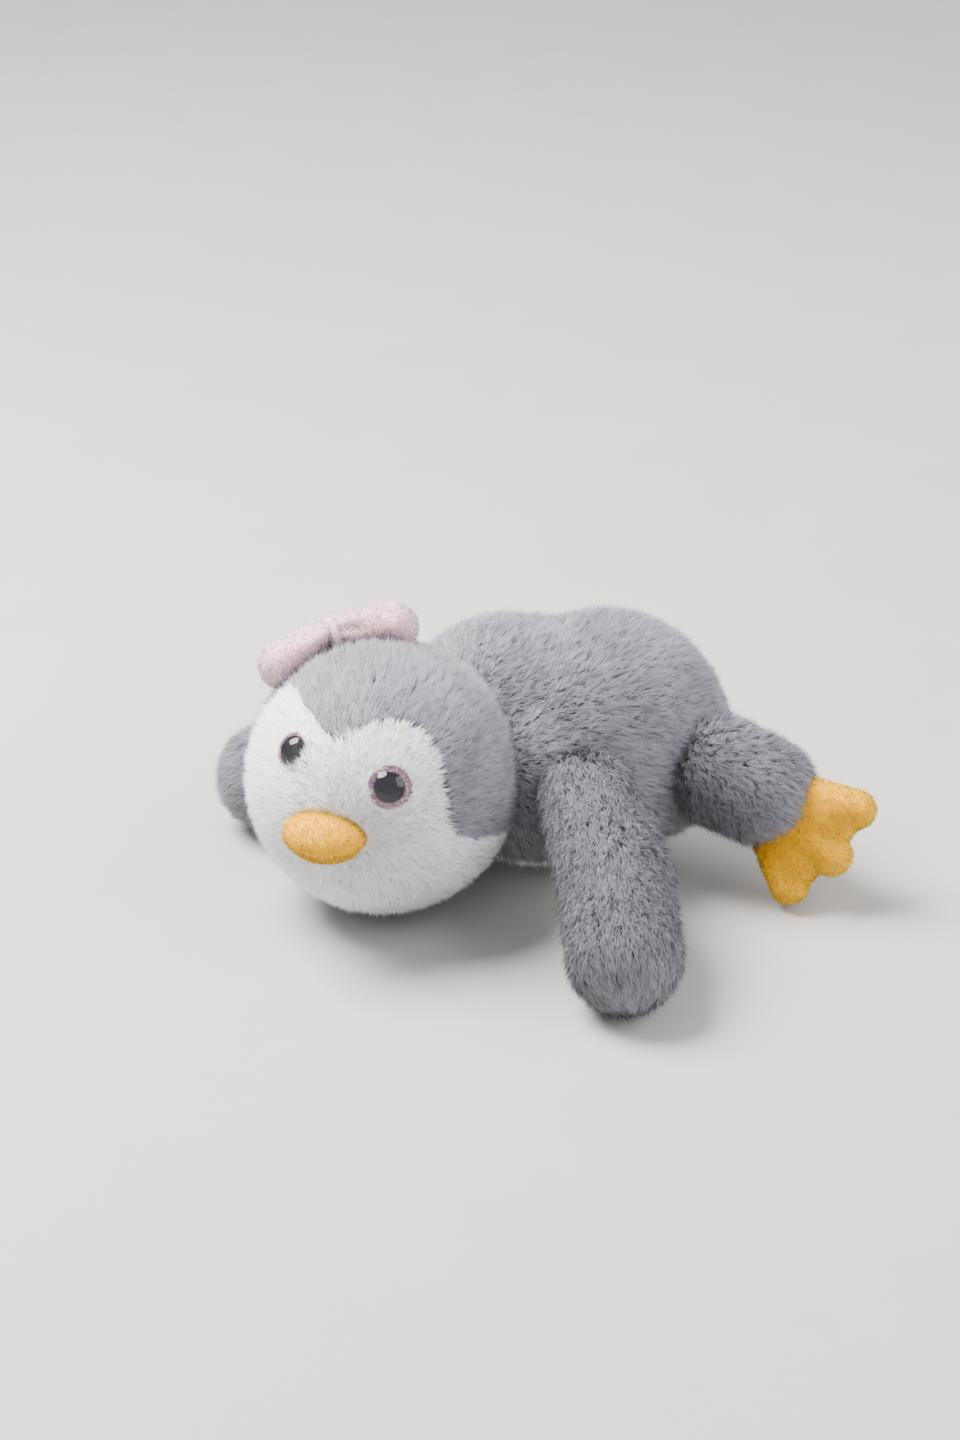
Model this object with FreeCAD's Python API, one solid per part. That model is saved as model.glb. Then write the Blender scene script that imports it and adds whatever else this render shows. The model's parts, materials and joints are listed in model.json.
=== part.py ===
import FreeCAD, Part
import math
import os

from FreeCAD import Vector

# Plush penguin lying on its belly, in millimetres.
# +Z is up from the floor at z = 0, the head lies towards -Y and the toy's left side is +X.
# Every fabric panel is a shell as thick as the cloth and its combed pile together, and the
# fibre stuffing fills the shell with a small clearance.

# ---------------------------------------------------------------- driving sizes
floor_z = 0.0                  # the surface the toy lies on

plush = 4.0                    # long-pile plush: knitted backing and combed pile
velour = 1.6                   # short-pile velour of the beak, feet and bow
fill_gap = 0.2                 # stuffing to the inside of its panels
seam_gap = 0.3                 # between pieces that move against each other

head_radius = 38.5
chin_clear = 0.5               # under the head, over the floor
head_centre = Vector(-17.0, -44.6, floor_z + chin_clear + head_radius)
head_turn = 39.5               # degrees the face is turned to the toy's left
head_lift = 16.5               # degrees the face looks up
head_roll = 8.5                # degrees the left cheek hangs lower

torso_radius = 35.0
torso_straight = 10.0          # length between the two round ends
belly_flat = 1.5               # the floor cuts this much off the round belly
neck_overlap = 10.5            # how far head and torso would run into each other
belly_seam_z = 15.0            # the white belly panel reaches up to here
thread_radius = 0.8            # bundle of strong thread that closes the neck

# Edge of the white face on the head, as degrees to the side of and above the face's middle.
# The lobe over the right eye is sewn lower and wider than the one over the left eye.
peak_rise = 24.0               # tip of the grey widow's peak
left_lobe = {"brow": (18.0, 42.0), "temple": (45.6, 16.5), "cheek": (54.1, 1.7), "bulge": 4.0}
right_lobe = {"brow": (34.0, 36.0), "temple": (57.0, 15.0), "cheek": (60.0, 1.7), "bulge": 2.4}
jaw_drop = 5.2                 # the grey ends this far under the middle, round to the neck
jaw_inset = 2.4                # the cheek lobe meets the jaw line this far inside the outline

eye_radius = 6.0
eye_height = 4.4               # of the clear dome over its flat back
eye_sink = 3.0                 # flat back of the eye under the pile's tips
eye_side = 24.6                # degrees off the face's middle line
eye_rise = 12.9                # degrees above the face's middle
pupil_radius = 4.0
pupil_depth = 0.9
stem_radius = 1.6
stem_length = 9.0
glitter_thick = 0.4
washer_radius = 5.0
washer_thick = 1.2
stem_play = 0.1                # stem to the holes in disc, cloth and washer
eye_play = 0.3                 # dome to the pile around it

beak_half_width = 13.0
beak_half_height = 7.4
beak_reach = 10.5              # half length, from the root to the tip
beak_place = (2.5, -15.3)      # degrees to the left and above the face's middle
beak_sink = 0.5                # centre of the beak under the pile's tips
beak_seam_drop = 3.0           # the seam runs this far under the beak's middle

bow_half_length = 10.8
bow_half_width = 7.2
bow_half_thick = 5.0
bow_rise = 3.1                 # middle of each loop over the pile's tips
bow_centre = (-92.0, 53.5)     # degrees to the side and up, on the crown over the right eye
bow_offset = 12.02             # middle of each loop off the line through the knot
bow_slant = 60.0               # degrees that the bow's line climbs to the toy's left
knot_radius = 4.2
knot_half_width = 2.4

root_standoff = 0.9            # seam of each limb outside the torso's round end
arm_radii = (14.5, 15.5, 16.0)     # shoulder, elbow, hand
arm_half = 30.0                # level length of each half of the arm
arm_seam_rise = 0.6            # the side seams run this far over the arm's middle
left_shoulder = (-26.5, 5.5)   # degrees round from straight sideways and up
right_shoulder = (-26.5, -2.3)
left_arm_way = (-12.0, -23.0)  # compass of each half, from the toy's left side
right_arm_way = (-128.0, -92.0)

leg_radii = (15.5, 14.0)       # hip, ankle
leg_length = 14.0
left_hip = (28.0, 1.0)
right_hip = (30.0, -10.0)
left_leg_way = (42.4, -17.0)   # compass and rise
right_leg_way = (135.0, -15.0)

foot_heel = 9.0                # radius of the foot at the ankle
heel_share = 0.15              # each toe's ray starts this far along, inside the leg's end
toe_radius = 7.0
mid_toe_radius = 7.4
toe_reach = 23.7               # ankle to the row of the outer toes
mid_toe_reach = 27.0
toe_spread = 14.5              # middle line of the foot to an outer toe
web_reach = 17.5               # ankle to the stuffed web between the toes
web_spread = 9.0
web_radius = 7.6
left_foot_way = (28.3, -30.0)
right_foot_way = (148.0, -36.0)
left_foot_roll = 62.0          # degrees the row of toes is turned up from level
right_foot_roll = 0.0

swing_back = {"left_arm": 30.0, "right_arm": 40.0, "left_leg": 18.0, "right_leg": 18.0}
swing_front = {"left_arm": 15.0, "right_arm": 0.0, "left_leg": 18.0, "right_leg": 18.0}

sweep_step = 9.0               # degrees between the places where a limb is cut clear of the torso
sweep_spare = 0.2              # covers the ridges left between those places
big = 400.0                    # blocks larger than the toy, for cutting

os.makedirs("parts", exist_ok=True)


# ---------------------------------------------------------------- helpers
def save(name, shape):
    """Write one node as a STEP file of its solids."""
    solids = shape.Solids
    result = solids[0] if len(solids) == 1 else Part.Compound(solids)
    result.exportStep("parts/" + name + ".step")
    print(f"{name:24s} solids {len(solids)} volume {result.Volume:10.1f} valid {result.isValid()}")


def way(compass, rise):
    """Unit vector at a compass angle from +X towards +Y, and a rise above level."""
    a, e = math.radians(compass), math.radians(rise)
    return Vector(math.cos(a) * math.cos(e), math.sin(a) * math.cos(e), math.sin(e))


def ball(centre, radius):
    return Part.makeSphere(radius, centre)


def capsule(start, end, start_radius, end_radius):
    """Two balls and the cone that touches both, as one revolved solid."""
    axis = end - start
    length = axis.Length
    axis.normalize()
    lean = math.asin((start_radius - end_radius) / length)

    def point(along, out):
        return Vector(out, 0, along)

    s, c = math.sin(lean), math.cos(lean)
    first_tangent = point(start_radius * s, start_radius * c)
    last_tangent = point(length + end_radius * s, end_radius * c)
    first_mid = (lean - math.pi / 2) / 2
    last_mid = (lean + math.pi / 2) / 2
    edges = [
        Part.Arc(point(-start_radius, 0),
                 point(start_radius * math.sin(first_mid), start_radius * math.cos(first_mid)),
                 first_tangent).toShape(),
        Part.LineSegment(first_tangent, last_tangent).toShape(),
        Part.Arc(last_tangent,
                 point(length + end_radius * math.sin(last_mid), end_radius * math.cos(last_mid)),
                 point(length + end_radius, 0)).toShape(),
        Part.LineSegment(point(length + end_radius, 0), point(-start_radius, 0)).toShape(),
    ]
    solid = Part.Face(Part.Wire(edges)).revolve(Vector(), Vector(0, 0, 1), 360)
    solid.Placement = FreeCAD.Placement(start, FreeCAD.Rotation(Vector(0, 0, 1), axis))
    return solid


def half_space(point, normal):
    """A huge block on the side of the plane that the normal points to."""
    block = Part.makeBox(big, big, big, Vector(-big / 2, -big / 2, 0))
    block.Placement = FreeCAD.Placement(point, FreeCAD.Rotation(Vector(0, 0, 1), normal))
    return block


def frame_at(origin, x_axis, z_axis):
    """Placement with its Z along z_axis and its X as near x_axis as it can be."""
    return FreeCAD.Placement(origin, FreeCAD.Rotation(x_axis, Vector(), z_axis, "ZXY"))


def ellipsoid(half_x, half_y, half_z):
    scale = FreeCAD.Matrix()
    scale.scale(half_x, half_y, half_z)
    return Part.makeSphere(1.0).transformGeometry(scale)


# ---------------------------------------------------------------- torso
torso_centre_z = floor_z + torso_radius - belly_flat
neck_reach = head_radius + torso_radius - neck_overlap
torso_front = head_centre + Vector(0, neck_reach, torso_centre_z - head_centre.z)
torso_rear = torso_front + Vector(0, torso_straight, 0)
head_socket = ball(head_centre, head_radius + seam_gap)
above_floor = half_space(Vector(0, 0, floor_z), Vector(0, 0, 1))
above_cloth = half_space(Vector(0, 0, floor_z + plush + fill_gap), Vector(0, 0, 1))

torso_outer = capsule(torso_front, torso_rear, torso_radius, torso_radius)
torso_outer = torso_outer.common(above_floor).cut(head_socket)
torso_inside = torso_radius - plush
torso_hollow = capsule(torso_front, torso_rear, torso_inside, torso_inside)
torso_hollow = torso_hollow.common(half_space(Vector(0, 0, floor_z + plush), Vector(0, 0, 1)))
torso_shell = torso_outer.cut(torso_hollow)
torso_fill = torso_inside - fill_gap
torso_stuffing = capsule(torso_front, torso_rear, torso_fill, torso_fill)
torso_stuffing = torso_stuffing.common(above_cloth).cut(head_socket)

belly_block = half_space(Vector(0, 0, belly_seam_z), Vector(0, 0, -1))
left_block = half_space(Vector(torso_front.x, 0, 0), Vector(1, 0, 0))
torso_back = torso_shell.cut(belly_block)
save("torso_left_panel", torso_back.common(left_block))
save("torso_right_panel", torso_back.cut(left_block))
save("torso_belly_panel", torso_shell.common(belly_block))
save("torso_stuffing", torso_stuffing)

# Ring of thread in the crease where head and torso meet, clear of both.
neck_line = torso_front - head_centre
neck_length = neck_line.Length
neck_line.normalize()
ring_to_head = head_radius + seam_gap + thread_radius
ring_to_torso = torso_radius + seam_gap + thread_radius
ring_along = (neck_length ** 2 + ring_to_head ** 2 - ring_to_torso ** 2) / (2 * neck_length)
ring_radius = math.sqrt(ring_to_head ** 2 - ring_along ** 2)
neck_ring = Part.makeTorus(ring_radius, thread_radius, head_centre + neck_line * ring_along, neck_line)
save("neck_thread_ring", neck_ring)

# ---------------------------------------------------------------- head
# The head is built looking along -Y with its left towards +X, then turned.
pose = FreeCAD.Rotation(Vector(0, 0, 1), head_turn)
pose = pose.multiply(FreeCAD.Rotation(Vector(1, 0, 0), -head_lift))
pose = pose.multiply(FreeCAD.Rotation(Vector(0, 1, 0), head_roll))
head_pose = FreeCAD.Placement(head_centre, pose)


def posed(shape):
    """A copy of a piece of the head, carried from its own frame to the toy."""
    result = shape.copy()
    result.Placement = head_pose.multiply(result.Placement)
    return result


def face_way(side, rise):
    """Unit vector in the head's frame, degrees to its left and above the face's middle."""
    return way(side - 90.0, rise)


def on_front(side, rise):
    """Where a direction falls on the upright plane through the head's middle."""
    spot = face_way(side, rise) * head_radius
    return Vector(spot.x, 0, spot.z)


def arched(start, end, rise):
    """Arc from start to end, bulging to the left of the way it runs when seen from the front."""
    run = end - start
    out = Vector(-run.z, 0, run.x)
    out.normalize()
    return Part.Arc(start, (start + end) / 2 + out * rise, end).toShape()


def lobe_edges(side, lobe):
    """The white edge on one side of the face, from the widow's peak down past the jaw."""
    peak = on_front(0, peak_rise)
    brow, temple, cheek = [on_front(side * lobe[key][0], lobe[key][1])
                           for key in ("brow", "temple", "cheek")]
    jaw = Vector(side * (head_radius - jaw_inset), 0, jaw_z)
    low = Vector(jaw.x, 0, -2 * head_radius)
    bulge = side * lobe["bulge"]
    return [
        arched(peak, brow, bulge / 2),
        arched(brow, temple, bulge),
        Part.LineSegment(temple, cheek).toShape(),
        arched(cheek, jaw, -bulge / 3),
        Part.LineSegment(jaw, low).toShape(),
        Part.LineSegment(low, Vector(0, 0, low.z)).toShape(),
    ]


jaw_z = -head_radius * math.sin(math.radians(jaw_drop))


def face_cutter():
    """The white area: lobes over the eyes and everything under the jaw line."""
    edges = lobe_edges(1, left_lobe) + lobe_edges(-1, right_lobe)
    outline = Part.Wire(Part.__sortEdges__(edges))
    front = Part.Face(outline).extrude(Vector(0, -2 * head_radius, 0))
    return front.fuse(half_space(Vector(0, 0, jaw_z), Vector(0, 0, -1)))


def eye_frame(side):
    """Frame with its origin on the eye's flat back and Z pointing out."""
    out = face_way(side, eye_rise)
    return frame_at(out * (head_radius - eye_sink), Vector(1, 0, 0), out)


def placed(shape, frame):
    result = shape.copy()
    result.Placement = frame.multiply(result.Placement)
    return result


def along_stem(radius, low, high):
    return Part.makeCylinder(radius, high - low, Vector(0, 0, low))


cloth_inner = head_radius - plush
dome_radius = (eye_radius ** 2 + eye_height ** 2) / (2 * eye_height)
dome_centre = eye_height - dome_radius
cloth_back = -(plush - eye_sink)                       # inner face of the cloth behind the eye
washer_top = cloth_back - fill_gap - eye_radius ** 2 / (2 * cloth_inner)
stem_end = -stem_length

eye_dome = ball(Vector(0, 0, dome_centre), dome_radius).common(along_stem(big, 0, big))
eye_dome = eye_dome.cut(along_stem(pupil_radius + stem_play, 0, pupil_depth + stem_play))
eye_pupil = along_stem(pupil_radius, 0, pupil_depth).fuse(along_stem(stem_radius, stem_end, 0))
glitter = along_stem(eye_radius, -glitter_thick, 0)
glitter = glitter.cut(along_stem(stem_radius + stem_play, -glitter_thick, 0))
washer = along_stem(washer_radius, washer_top - washer_thick, washer_top)
washer = washer.cut(along_stem(stem_radius + stem_play, washer_top - washer_thick, washer_top))
eye_pocket = along_stem(eye_radius + eye_play, -glitter_thick - stem_play, big / 4)
eye_pocket = eye_pocket.fuse(along_stem(stem_radius + stem_play, stem_end, 0))
washer_room = along_stem(washer_radius + fill_gap, stem_end - fill_gap, 0)

head_shell = ball(Vector(), head_radius).cut(ball(Vector(), cloth_inner))
head_stuffing = ball(Vector(), cloth_inner - fill_gap)
for name, side in (("left", eye_side), ("right", -eye_side)):
    frame = eye_frame(side)
    head_shell = head_shell.cut(placed(eye_pocket, frame))
    head_stuffing = head_stuffing.cut(placed(washer_room, frame))
    save(name + "_eye_dome", posed(placed(eye_dome, frame)))
    save(name + "_eye_pupil", posed(placed(eye_pupil, frame)))
    save(name + "_eye_glitter_disc", posed(placed(glitter, frame)))
    save(name + "_eye_washer", posed(placed(washer, frame)))

white = face_cutter()
crown = head_shell.cut(white)
left_of_head = half_space(Vector(), Vector(1, 0, 0))
save("head_face_panel", posed(head_shell.common(white)))
save("head_crown_left", posed(crown.common(left_of_head)))
save("head_crown_right", posed(crown.cut(left_of_head)))
save("head_stuffing", posed(head_stuffing))

# Beak: a flat egg of velour on the middle line of the face.
beak_out = face_way(*beak_place)
beak_frame = frame_at(beak_out * (head_radius - beak_sink), beak_out, Vector(0, 0, 1))
head_cover = ball(Vector(), head_radius + fill_gap)


def beak_body(inset):
    egg = ellipsoid(beak_reach - inset, beak_half_width - inset, beak_half_height - inset)
    return placed(egg, beak_frame).cut(head_cover)


beak_seam = beak_frame.multVec(Vector(0, 0, -beak_seam_drop))
over_seam = half_space(beak_seam, beak_frame.Rotation.multVec(Vector(0, 0, 1)))
beak_shell = beak_body(0).cut(beak_body(velour))
save("beak_top_panel", posed(beak_shell.common(over_seam)))
save("beak_bottom_panel", posed(beak_shell.cut(over_seam)))
save("beak_stuffing", posed(beak_body(velour + fill_gap)))

# Bow: two puffed loops lying on the crown, and the knot between them.
bow_out = face_way(*bow_centre)
level = Vector(0, 0, 1).cross(bow_out) * -1
level.normalize()
uphill = bow_out.cross(level)
uphill.normalize()
if uphill.z < 0:
    uphill = uphill * -1
slant = math.radians(bow_slant)
bow_line = level * math.cos(slant) + uphill * math.sin(slant)
if bow_line.x < 0:
    bow_line = bow_line * -1
bow_seat = head_radius + bow_rise
spread = math.asin(bow_offset / bow_seat)
knot_frame = frame_at(bow_out * bow_seat, bow_line, bow_out)
knot_room = placed(ellipsoid(knot_half_width + fill_gap, knot_radius + fill_gap, knot_radius + fill_gap),
                   knot_frame)
for name, sign in (("left", 1), ("right", -1)):
    out = bow_out * math.cos(spread) + bow_line * (sign * math.sin(spread))
    frame = frame_at(out * bow_seat, bow_line - out * bow_line.dot(out), out)
    loop = placed(ellipsoid(bow_half_length, bow_half_width, bow_half_thick), frame)
    save("bow_" + name + "_loop", posed(loop.cut([head_cover, knot_room])))
knot = placed(ellipsoid(knot_half_width, knot_radius, knot_radius), knot_frame)
save("bow_knot", posed(knot.cut(head_cover)))


# ---------------------------------------------------------------- limbs
def limb_root(end_centre, side, place):
    """Middle of a limb's seam, just outside a round end of the torso."""
    compass, rise = place
    out = way(compass, rise)
    out = Vector(side * out.x, out.y, out.z)
    return end_centre + out * (torso_radius + root_standoff)


def clear_of_torso(shape, name, side, root, towards):
    """Open the limb at its root, and cut it clear of the torso over its whole swing."""
    swing = swing_front[name] + swing_back[name]
    steps = math.ceil(swing / sweep_step)
    shape = shape.cut(half_space(root, root - towards))
    for i in range(steps + 1):
        turn = FreeCAD.Rotation(Vector(0, 0, side), swing_front[name] - swing * i / steps)
        for centre in (torso_front, torso_rear):
            place = root + turn.multVec(centre - root)
            shape = shape.cut(ball(place, torso_radius + seam_gap + sweep_spare))
    return shape


def chain(points, radii):
    """Capsules from point to point."""
    links = [capsule(points[i], points[i + 1], radii[i], radii[i + 1]) for i in range(len(points) - 1)]
    result = links[0]
    for link in links[1:]:
        result = result.fuse(link)
    return result.removeSplitter()


def less(radii, amount):
    return [r - amount for r in radii]


def arm(name, side, place, ways):
    root = limb_root(torso_front, side, place)
    hand_z = floor_z + arm_radii[2]
    elbow = root + way(ways[0], 0) * arm_half
    hand = elbow + way(ways[1], 0) * arm_half
    elbow.z = (root.z + hand_z) / 2
    hand.z = hand_z
    points = [root, elbow, hand]
    shell = chain(points, arm_radii).cut(chain(points, less(arm_radii, plush)))
    stuffing = chain(points, less(arm_radii, plush + fill_gap))
    stuffing = clear_of_torso(stuffing, name, side, root, elbow)
    across = (hand - root).cross(Vector(0, 0, 1))
    over = across.cross(hand - root)
    over.normalize()
    outside = half_space(elbow + over * arm_seam_rise, over)
    for panel, half in (("_outer_panel", shell.common(outside)), ("_inner_panel", shell.cut(outside))):
        save(name + panel, clear_of_torso(half, name, side, root, elbow).cut(head_socket))
    save(name + "_stuffing", stuffing.cut(head_socket))
    print(name, "hinge", [round(v, 3) for v in root])


arm("left_arm", 1, left_shoulder, left_arm_way)
arm("right_arm", -1, right_shoulder, right_arm_way)


def leg_and_foot(name, side, place, leg_way, foot_way, foot_roll):
    root = limb_root(torso_rear, side, place)
    ankle = root + way(*leg_way) * leg_length
    hollow = capsule(root, ankle, *less(leg_radii, plush))
    sleeve = capsule(root, ankle, *leg_radii).cut(hollow)
    stuffing = capsule(root, ankle, *less(leg_radii, plush + fill_gap))
    save(name + "_leg_sleeve", clear_of_torso(sleeve, name + "_leg", side, root, ankle))
    save(name + "_leg_stuffing", clear_of_torso(stuffing, name + "_leg", side, root, ankle))

    forward = way(*foot_way)
    level_row = Vector(0, 0, 1).cross(forward)
    level_row.normalize()
    row = FreeCAD.Rotation(forward, foot_roll).multVec(level_row)
    toes = [(ankle + forward * toe_reach + row * toe_spread, toe_radius),
            (ankle + forward * mid_toe_reach, mid_toe_radius),
            (ankle + forward * toe_reach - row * toe_spread, toe_radius)]
    web_ends = [ankle + forward * web_reach + row * s * web_spread for s in (1, -1)]
    leg_end = ball(ankle, leg_radii[1] + seam_gap)

    def foot_body(inset):
        rays = [capsule(ankle + (toe - ankle) * heel_share, toe, foot_heel - inset, radius - inset)
                for toe, radius in toes]
        web = capsule(web_ends[0], web_ends[1], web_radius - inset, web_radius - inset)
        return web.fuse(rays[0]).fuse(rays[1]).fuse(rays[2]).cut(leg_end)

    body = foot_body(0)
    shell = body.cut(foot_body(velour))
    top_side = half_space(ankle, forward.cross(row))
    save(name + "_foot_top_panel", shell.common(top_side))
    save(name + "_foot_sole_panel", shell.cut(top_side))
    save(name + "_foot_stuffing", foot_body(velour + fill_gap))
    print(name, "hip", [round(v, 3) for v in root], "ankle", [round(v, 3) for v in ankle],
          "row", [round(v, 4) for v in row], "lowest", round(body.BoundBox.ZMin, 2))


leg_and_foot("left", 1, left_hip, left_leg_way, left_foot_way, left_foot_roll)
leg_and_foot("right", -1, right_hip, right_leg_way, right_foot_way, right_foot_roll)
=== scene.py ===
# %% [markdown]
# # A plush penguin lying on its belly
# The toy is sewn from long-pile plush, short-pile velour and a few plastic parts. This lesson
# dresses the imported frame: every cloth panel becomes a curved sheet of backing that carries its
# own combed pile, as real geometry, so that the fur still shows in the exported mesh.

# %% [markdown]
# ## Load the frame
# The frame holds the bodies, the hinges and the simple solids that the pieces replace.

# %% Load the frame
import json
import math

import bmesh
import bpy
import numpy as np
from mathutils import Matrix, Vector, kdtree


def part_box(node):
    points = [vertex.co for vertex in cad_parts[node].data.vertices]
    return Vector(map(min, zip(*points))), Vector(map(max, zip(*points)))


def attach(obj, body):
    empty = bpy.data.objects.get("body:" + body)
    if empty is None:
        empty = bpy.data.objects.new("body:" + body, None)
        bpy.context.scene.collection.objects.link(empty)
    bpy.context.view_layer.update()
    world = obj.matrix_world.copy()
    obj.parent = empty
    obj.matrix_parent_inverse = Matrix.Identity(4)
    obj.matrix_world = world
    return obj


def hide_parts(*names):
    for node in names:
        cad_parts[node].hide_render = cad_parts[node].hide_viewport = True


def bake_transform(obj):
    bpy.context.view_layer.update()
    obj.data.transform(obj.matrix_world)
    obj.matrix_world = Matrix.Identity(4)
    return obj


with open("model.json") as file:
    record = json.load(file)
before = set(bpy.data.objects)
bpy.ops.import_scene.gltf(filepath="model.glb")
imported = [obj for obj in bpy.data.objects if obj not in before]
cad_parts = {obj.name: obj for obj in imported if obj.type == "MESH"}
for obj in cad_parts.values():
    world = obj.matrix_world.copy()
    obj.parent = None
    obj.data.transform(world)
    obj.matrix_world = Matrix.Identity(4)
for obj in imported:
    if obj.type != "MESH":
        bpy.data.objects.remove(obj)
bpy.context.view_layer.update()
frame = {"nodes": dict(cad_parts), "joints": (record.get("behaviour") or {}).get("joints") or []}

mm = 0.001
random_seed = 11
hinge_at = {j["name"]: np.array(j["pos_m"]) for j in frame["joints"]}
hinge_axis = {j["name"]: np.array(j["axis"]) for j in frame["joints"]}

# %% [markdown]
# ## Directions
# Places on a round toy are easiest to say as angles. A compass angle and a rise give a direction
# in the toy's frame; degrees to the side and above the face give one in the head's own frame,
# which is then turned, lifted and rolled as the head is.


# %% Directions
def way(compass, rise):
    """Unit vector from a compass angle (from +X towards +Y) and a rise above level."""
    a, e = math.radians(compass), math.radians(rise)
    return np.array([math.cos(a) * math.cos(e), math.sin(a) * math.cos(e), math.sin(e)])


def unit(v):
    return v / np.maximum(np.linalg.norm(v, axis=-1, keepdims=True), 1e-12)


head_turn, head_lift, head_roll = 39.5, 16.5, 8.5
head_matrix = np.array(
    Matrix.Rotation(math.radians(head_turn), 3, "Z")
    @ Matrix.Rotation(math.radians(-head_lift), 3, "X")
    @ Matrix.Rotation(math.radians(head_roll), 3, "Y")
)
head_centre = hinge_at["neck_turn"]


def face_way(side, rise):
    """Direction in the head's own frame: degrees to its left and above the face's middle."""
    return way(side - 90.0, rise)


def in_head(points):
    """Points of the toy, in the head's own frame and from its centre."""
    return (points - head_centre) @ head_matrix


print("head centre", np.round(head_centre / mm, 1))

# %% [markdown]
# ## Soft forms
# A stuffed part has no straight lines, so its form starts as a few overlapping capsules. A voxel
# remesh melts them into one skin and a smooth pass rounds the creases, as stuffing does from
# inside. The result is kept as plain arrays, which are quick to cut into panels.


# %% Soft forms
def capsule_mesh(bm, start, end, start_radius, end_radius):
    """Adds one capsule: a ball whose halves are carried to the two ends."""
    axis = Vector(end - start)
    turn = axis.to_track_quat("Z", "Y")
    made = bmesh.ops.create_uvsphere(bm, u_segments=48, v_segments=25, radius=1.0)
    for vert in made["verts"]:
        far = vert.co.z > 0
        spot = turn @ vert.co
        vert.co = Vector(end if far else start) + spot * (end_radius if far else start_radius)


def mesh_arrays(obj):
    """Vertices, triangles and vertex normals of an object with its modifiers applied."""
    evaluated = obj.evaluated_get(bpy.context.evaluated_depsgraph_get())
    mesh = evaluated.to_mesh()
    mesh.calc_loop_triangles()
    points = np.empty(len(mesh.vertices) * 3, np.float32)
    mesh.vertices.foreach_get("co", points)
    corners = np.empty(len(mesh.loop_triangles) * 3, np.int32)
    mesh.loop_triangles.foreach_get("vertices", corners)
    evaluated.to_mesh_clear()
    return points.reshape(-1, 3).astype(float), corners.reshape(-1, 3)


def vertex_normals(points, faces):
    flat = np.cross(points[faces[:, 1]] - points[faces[:, 0]], points[faces[:, 2]] - points[faces[:, 0]])
    normals = np.zeros_like(points)
    for k in range(3):
        np.add.at(normals, faces[:, k], flat)
    return unit(normals)


def evened(values, faces, rounds):
    """Unit vectors at the vertices, averaged with their neighbours' a few times."""
    for _ in range(rounds):
        total = values.copy()
        for a, b in ((0, 1), (1, 2), (2, 0)):
            np.add.at(total, faces[:, a], values[faces[:, b]])
            np.add.at(total, faces[:, b], values[faces[:, a]])
        values = unit(total)
    return values


def scratch_object(bm):
    mesh = bpy.data.meshes.new("scratch")
    bm.to_mesh(mesh)
    bm.free()
    obj = bpy.data.objects.new("scratch", mesh)
    bpy.context.scene.collection.objects.link(obj)
    return obj


def soft_form(links, voxel, smoothing):
    """One skin round the capsules (start, end, start_radius, end_radius), as arrays."""
    bm = bmesh.new()
    for link in links:
        capsule_mesh(bm, *link)
    obj = scratch_object(bm)
    remesh = obj.modifiers.new("melt", "REMESH")
    remesh.mode = "VOXEL"
    remesh.voxel_size = voxel
    smooth = obj.modifiers.new("round", "SMOOTH")
    smooth.factor = 0.5
    smooth.iterations = smoothing
    points, faces = mesh_arrays(obj)
    bpy.data.objects.remove(obj)
    return points, faces


def ball_form(centre, radius, detail=5):
    """An even ball of triangles, as arrays."""
    bm = bmesh.new()
    bmesh.ops.create_icosphere(bm, subdivisions=detail, radius=radius)
    obj = scratch_object(bm)
    points, faces = mesh_arrays(obj)
    bpy.data.objects.remove(obj)
    return points + centre, faces


# %% [markdown]
# ## Pile
# Long pile could be a particle system, but particles are lost on export. Each fibre of the long pile is a
# kite of two triangles: pointed at the root, widest at the bend, pointed at the tip. Fibres are scattered
# evenly over the panel, leaned along the comb, and drawn together into tufts, which is what makes plush read
# as plush. Each fibre keeps the cloth's own normal, so light falls softly over the whole panel. Two values go
# with each point: how light its tuft is, and how far along the fibre it lies. The UV map holds the same two.


# %% Pile
root_sink = 0.2 * mm          # roots start this far inside the backing, so no gap shows under them
bend_share = 0.45             # how much of a fibre's length lies below its bend
fibre_shade = 0.35            # how far a fibre's own direction turns the cloth's normal


def scatter(points, faces, normals, density, rng):
    """Even random places on the faces: position and smooth normal."""
    corner = points[faces]
    across = np.cross(corner[:, 1] - corner[:, 0], corner[:, 2] - corner[:, 0])
    area = np.linalg.norm(across, axis=1) / 2
    count = int(area.sum() / mm ** 2 * density)
    pick = np.searchsorted(np.cumsum(area), rng.random(count) * area.sum()).clip(0, len(faces) - 1)
    u, v = rng.random(count), rng.random(count)
    over = u + v > 1
    u[over], v[over] = 1 - u[over], 1 - v[over]
    share = np.stack([1 - u - v, u, v], 1)[:, :, None]
    return (corner[pick] * share).sum(1), unit((normals[faces[pick]] * share).sum(1))


def tufts(roots, per_tuft, rng):
    """Number of the tuft that each fibre belongs to, and the tufts' own places in roots."""
    seeds = rng.choice(len(roots), max(len(roots) // per_tuft, 1), replace=False)
    tree = kdtree.KDTree(len(seeds))
    for i, seed in enumerate(seeds):
        tree.insert(roots[seed], i)
    tree.balance()
    return np.array([tree.find(p)[1] for p in roots]), seeds


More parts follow.
